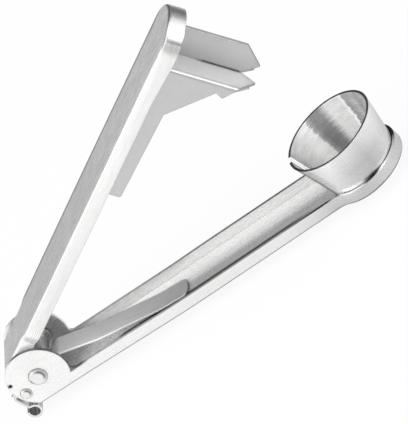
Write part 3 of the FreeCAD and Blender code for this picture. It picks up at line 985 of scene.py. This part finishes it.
def divided(points, spacing):
    """The same line with no two points further apart than spacing."""
    result = [points[0]]
    for start, end in zip(points, points[1:]):
        count = max(1, math.ceil((end - start).length / spacing))
        for index in range(1, count + 1):
            result.append(start.lerp(end, index / count))
    return result


def divided_near_tip(line, tip_length):
    """The line with close points over the first stretch, where the tip's corners are round."""
    travelled = 0.0
    for index in range(1, len(line)):
        travelled += (line[index] - line[index - 1]).length
        if travelled > tip_length:
            return divided(line[: index + 1], TIP_SPACING) + line[index + 1 :]
    return line


def spring_line(half):
    """Centre line of the spring from its tip in the lower arm to its end in the upper arm."""
    wrap = BUSH_RADIUS + RUNNING_CLEARANCE + half
    bends = [(x * MM, z * MM, radius * MM) for x, z, radius in SPRING_BENDS]
    crease = Vector(bends[-1][:2])
    lower_touch = math.atan2(crease.y, crease.x) - math.acos(wrap / crease.length)
    upper_end = Vector((SPRING_UPPER_REACH, UPPER_BACK_INSIDE - half))
    towards = math.atan2(upper_end.y, upper_end.x) + OPEN_ANGLE
    upper_touch = towards + math.acos(wrap / upper_end.length) - 2 * math.pi
    coil = []
    for index in range(COIL_STEPS + 1):
        turn = lower_touch + (upper_touch - lower_touch) * index / COIL_STEPS
        coil.append(Vector((wrap * math.cos(turn), wrap * math.sin(turn))))
    lower = rounded(bends + [(coil[0].x, coil[0].y, 0.0)], BEND_STEP)
    end = Vector((math.cos(towards), math.sin(towards))) * upper_end.length
    return divided(lower[:-1] + coil + [end], LINE_SPACING)


def strip_section(half_width, half_thickness, edge_round):
    """Cross-section of the strip as (sideways, outwards) points, with rounded corners."""
    section = []
    for corner in range(4):
        side_sign = 1.0 if corner in (0, 3) else -1.0
        face_sign = 1.0 if corner in (0, 1) else -1.0
        for index in range(CORNER_STEPS + 1):
            turn = math.pi / 2 * (corner + index / CORNER_STEPS)
            sideways = side_sign * (half_width - edge_round) + edge_round * math.cos(turn)
            outwards = face_sign * (half_thickness - edge_round) + edge_round * math.sin(turn)
            section.append((sideways, outwards))
    return section


def strip_mesh(name, sizes):
    """The spring's strip along its line, narrower over the tip's round corners."""
    half = sizes.thickness / 2
    line = divided_near_tip(spring_line(half), sizes.tip_round)
    shape = bmesh.new()
    rings = []
    travelled = 0.0
    for index, point in enumerate(line):
        before = line[max(index - 1, 0)]
        after = line[min(index + 1, len(line) - 1)]
        direction = (after - before).normalized()
        normal = Vector((-direction.y, direction.x))
        if index:
            travelled += (point - before).length
        short = max(0.0, sizes.tip_round - travelled)
        pull = sizes.tip_round - math.sqrt(max(0.0, sizes.tip_round**2 - short**2))
        ring = []
        for sideways, outwards in strip_section(sizes.width / 2 - pull, half, sizes.edge_round):
            spot = point + normal * outwards
            corner = (HINGE.x + spot.x, HINGE.y + sideways, HINGE.z + spot.y)
            ring.append(shape.verts.new(corner))
        rings.append(ring)
    for first, second in zip(rings, rings[1:]):
        for index in range(len(first)):
            follower = (index + 1) % len(first)
            shape.faces.new((first[index], first[follower], second[follower], second[index]))
    shape.faces.new(rings[0])
    shape.faces.new(list(reversed(rings[-1])))
    bmesh.ops.recalc_face_normals(shape, faces=shape.faces)
    mesh = bpy.data.meshes.new(name)
    shape.to_mesh(mesh)
    shape.free()
    for polygon in mesh.polygons:
        polygon.use_smooth = len(polygon.vertices) == 4
    return mesh


class STONER_OT_leaf_spring(bpy.types.Operator):
    """Leaf spring between the two arms"""

    bl_idname = "stoner.leaf_spring"
    bl_label = "Leaf spring"

    def execute(self, context):
        steel_set = context.scene.stoner_steel
        name = "leaf_spring_strip"
        mesh = strip_mesh(name, context.scene.stoner_spring)
        finish = steel(
            "spring steel",
            steel_set.spring,
            steel_set.roughness + 0.05,
            surface=self.along_leg,
            streak=(150.0, 1500.0, 1500.0),
            grain=steel_set.grain * 1.8,
            mottle=0.18,
            tone=self.shades,
            metallic=0.45,
            edges=0.0,
        )
        mesh.materials.append(finish)
        spring = bpy.data.objects.new(name, mesh)
        context.scene.collection.objects.link(spring)
        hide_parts("leaf_spring")
        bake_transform(spring)
        return {"FINISHED"}

    @staticmethod
    def along_leg(graph):
        """Position with X along the lower leg, for the grain."""
        return graph.add(
            "ShaderNodeMapping",
            None,
            {"Vector": object_position(graph), "Rotation": (0.0, -GRAIN_SLOPE, 0.0)},
        )

    @staticmethod
    def shades(graph):
        """Painted light and shade: bright near edge, dark far edge and tip, and a face that darkens
        towards the tip.
        """
        x, y, _ = place(graph)
        from_hinge = x - HINGE.x
        tip = turned_to(graph, Vector((1.0, 0.0, 0.0)), 0.4, 0.7)
        far = turned_to(graph, FAR_SIDE, 0.2, 0.6)
        near = turned_to(graph, NEAR_SIDE, 0.3, 0.7)
        face_level = graph.remap(from_hinge, 20 * MM, 60 * MM, 1.2, 0.66)
        by_edge = graph.rise(y, -4.0 * MM, -4.6 * MM)
        by_edge = by_edge * graph.rise(from_hinge, 34 * MM, 18 * MM, 0.45)
        near_level = graph.remap(from_hinge, 25 * MM, 60 * MM, 1.7, 1.1)
        level = (face_level + by_edge) * (1.0 - near) + near * near_level
        return level * left_after(tip * 0.75, far * 0.7)


# ---- stage -------------------------------------------------------------------------------------
DARK_SIDE = Vector((0.1, 0.88, 0.42)).normalized()  # where the room is unlit
GREY_FRONT = Vector((0.27, -0.96, -0.12)).normalized()  # and where it is half lit
LAMPS = (  # name, place from the middle of the stoner, and side
    ("lamp_left", Vector((-0.5, -0.25, 0.45)), 0.35),
    ("lamp_right", Vector((0.65, -0.44, 0.15)), 0.3),
    ("lamp_top", Vector((0.1, 0.0, 0.8)), 0.5),
)
FLOOR_GAP = 0.2 * MM  # below the stoner
FLOOR_WHITE = (0.9, 0.9, 0.9)
SEEN_WHITE = 0.35  # share of plain white in the floor, wherever it is seen
CAMERA_WHITE = 0.57  # and what the camera sees on top of that: the rest keeps the shadow
SENSOR_WIDTH = 36.0


def is_seen(graph):
    """1 for camera rays, and 1 for all that show the stage, mirror-like and glass ones too."""
    rays = graph.add("ShaderNodeLightPath").socket.node.outputs
    camera = Value(graph, rays["Is Camera Ray"])
    glossy = Value(graph, rays["Is Glossy Ray"])
    through = Value(graph, rays["Is Transmission Ray"])
    return camera, (camera + glossy + through).clamped()


class STONER_OT_floor(bpy.types.Operator):
    """Round pale floor under the stoner"""

    bl_idname = "stoner.floor"
    bl_label = "Floor"

    def execute(self, context):
        radius = context.scene.stoner_stage.floor_radius
        shape = bmesh.new()
        bmesh.ops.create_circle(shape, cap_ends=True, segments=96, radius=radius)
        mesh = bpy.data.meshes.new("floor")
        shape.to_mesh(mesh)
        shape.free()
        mesh.materials.append(self.floor_white())
        floor = bpy.data.objects.new("floor", mesh)
        floor.location = (MIDDLE.x, MIDDLE.y, CAD_BOX[0].z - FLOOR_GAP)
        context.scene.collection.objects.link(floor)
        return {"FINISHED"}

    @staticmethod
    def floor_white():
        """White to the camera, and greyer beyond the cup in what the steel mirrors."""
        material = bpy.data.materials.new("floor white")
        material.use_nodes = True
        graph = Graph(material.node_tree)
        camera, seen = is_seen(graph)
        x = parts_of(graph, graph.add("ShaderNodeNewGeometry"))[0]
        shaded = graph.remap(x, CUP_LOW.x - 10 * MM, CUP_LOW.x + 15 * MM, 1.0, 0.62, smooth=True)
        tone = shaded * (1.0 - camera) + camera
        grey = combined(graph, tone, tone, tone)
        colour = scaled(graph, grey, FLOOR_WHITE)
        lit = graph.add("ShaderNodeBsdfDiffuse", None, {"Color": colour})
        white = graph.add("ShaderNodeEmission", None, {"Color": grey, "Strength": 1.0})
        share = seen * SEEN_WHITE + camera * CAMERA_WHITE
        surface = graph.add("ShaderNodeMixShader", None, {0: share, 1: lit, 2: white})
        graph.add("ShaderNodeOutputMaterial", None, {"Surface": surface})
        return material


class STONER_OT_room(bpy.types.Operator):
    """Soft white room, greyer on the far side, and the lamps"""

    bl_idname = "stoner.room"
    bl_label = "Room and lamps"

    def execute(self, context):
        stage_set = context.scene.stoner_stage
        world = bpy.data.worlds.new("room")
        world.use_nodes = True
        context.scene.world = world
        graph = Graph(world.node_tree)
        direction = graph.add("ShaderNodeTexCoord")
        far = graph.remap(
            graph.dot(direction, DARK_SIDE), 0.85, 0.3, stage_set.far_grey, 1.0, smooth=True
        )
        front = graph.remap(
            graph.dot(direction, GREY_FRONT), 0.88, 0.99, 1.0, stage_set.front_grey, smooth=True
        )
        camera, _ = is_seen(graph)
        strength = far * front * (1.0 - camera) + camera
        background = graph.add(
            "ShaderNodeBackground", None, {"Color": (1.0, 1.0, 1.0, 1.0), "Strength": strength}
        )
        graph.add("ShaderNodeOutputWorld", None, {"Surface": background})
        for name, offset, side in LAMPS:
            self.lamp(context, name, offset, side, stage_set.lamp_power)
        return {"FINISHED"}

    @staticmethod
    def lamp(context, name, offset, side, power):
        """Square area lamp that faces the middle of the stoner."""
        data = bpy.data.lights.new(name, "AREA")
        data.size = side
        data.energy = power
        lamp = bpy.data.objects.new(name, data)
        lamp.location = MIDDLE + offset
        lamp.rotation_euler = offset.to_track_quat("Z", "Y").to_euler()
        context.scene.collection.objects.link(lamp)


class STONER_OT_camera(bpy.types.Operator):
    """Camera that looks along both arms from the near side"""

    bl_idname = "stoner.camera"
    bl_label = "Camera"

    def execute(self, context):
        stage_set = context.scene.stoner_stage
        right, up, back = self.axes(stage_set)
        middle = (
            HINGE
            + right * stage_set.aim_right
            + up * stage_set.aim_up
            + back * stage_set.aim_near
        )
        distance = stage_set.frame_height * stage_set.lens / SENSOR_WIDTH
        data = bpy.data.cameras.new("camera")
        data.sensor_width = SENSOR_WIDTH
        data.lens = stage_set.lens
        data.clip_start = 1.0
        data.clip_end = 40.0
        camera = bpy.data.objects.new("camera", data)
        turn = Matrix((right, up, back)).transposed().to_4x4()
        camera.matrix_world = Matrix.Translation(middle + back * distance) @ turn
        context.scene.collection.objects.link(camera)
        context.scene.camera = camera
        context.scene.view_settings.view_transform = "Standard"
        return {"FINISHED"}

    @staticmethod
    def axes(stage_set):
        """Right, up and towards the camera in its picture."""
        azimuth = stage_set.azimuth
        elevation = stage_set.elevation
        roll = stage_set.roll
        outwards = Vector((math.sin(azimuth), -math.cos(azimuth), 0.0))
        back = outwards * math.cos(elevation) + UP * math.sin(elevation)
        level_right = Vector((math.cos(azimuth), math.sin(azimuth), 0.0))
        level_up = back.cross(level_right)
        right = level_right * math.cos(roll) - level_up * math.sin(roll)
        up = level_right * math.sin(roll) + level_up * math.cos(roll)
        return right, up, back


# ---- add-on ------------------------------------------------------------------------------------
OPERATORS = (
    STONER_OT_camera,
    STONER_OT_lower_arm,
    STONER_OT_upper_arm,
    STONER_OT_cup,
    STONER_OT_cutter,
    STONER_OT_hinge,
    STONER_OT_leaf_spring,
    STONER_OT_floor,
    STONER_OT_room,
)


class STONER_PT_panel(bpy.types.Panel):
    """Buttons for every piece and for the stage"""

    bl_label = "Lever stoner"
    bl_idname = "STONER_PT_panel"
    bl_space_type = "VIEW_3D"
    bl_region_type = "UI"
    bl_category = "Stoner"

    def draw(self, context):
        for operator in OPERATORS:
            self.layout.operator(operator.bl_idname)


CLASSES = (SteelSettings, SpringSettings, StageSettings) + OPERATORS + (STONER_PT_panel,)


def register():
    for item in CLASSES:
        bpy.utils.register_class(item)
    scene_type = bpy.types.Scene
    scene_type.stoner_steel = bpy.props.PointerProperty(type=SteelSettings)
    scene_type.stoner_spring = bpy.props.PointerProperty(type=SpringSettings)
    scene_type.stoner_stage = bpy.props.PointerProperty(type=StageSettings)


def unregister():
    scene_type = bpy.types.Scene
    del scene_type.stoner_stage
    del scene_type.stoner_spring
    del scene_type.stoner_steel
    for item in reversed(CLASSES):
        bpy.utils.unregister_class(item)


def main():
    """Register everything and make every piece."""
    register()
    for operator in OPERATORS:
        group, name = operator.bl_idname.split(".")
        getattr(getattr(bpy.ops, group), name)()


if __name__ == "__main__":
    main()
